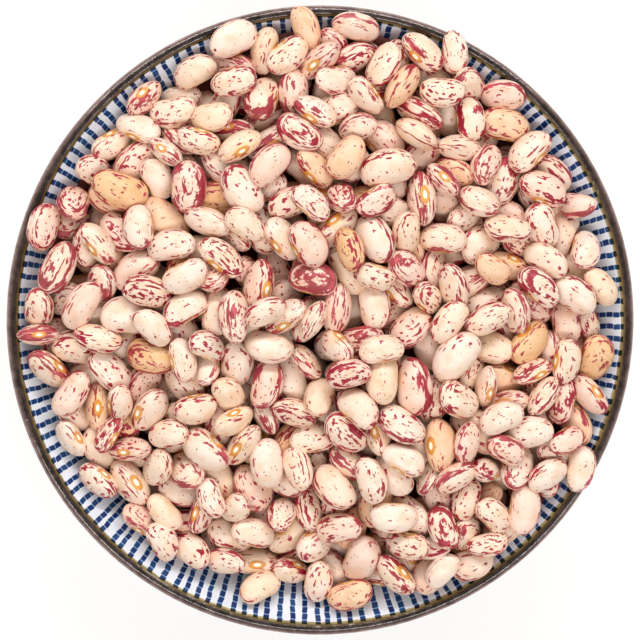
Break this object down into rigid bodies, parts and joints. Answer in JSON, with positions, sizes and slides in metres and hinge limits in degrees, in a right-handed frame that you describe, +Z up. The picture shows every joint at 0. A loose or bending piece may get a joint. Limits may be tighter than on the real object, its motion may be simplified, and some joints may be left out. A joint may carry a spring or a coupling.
{
  "type": "bowl of dried beans",
  "caption": "Shallow round porcelain bowl on a foot ring, heaped above its rim with speckled dried kidney beans.",
  "frame": {"origin": "middle of the foot ring's resting face, on the surface that the bowl stands on", "axes": "+Z up along the bowl's axis; +X to the picture's right and +Y to its top, as seen from above"},
  "size_m": [0.19, 0.19, 0.0672],
  "materials": {
    "porcelain": "glazed, bluish white with a cobalt pattern of stripes of squares and a brown lip",
    "bean_coat": "smooth dry seed coat, cream with crimson speckles"
  },
  "bodies": {
    "root": {"bowl": "porcelain", "bean_heap": "bean_coat"}
  },
  "joints": []
}
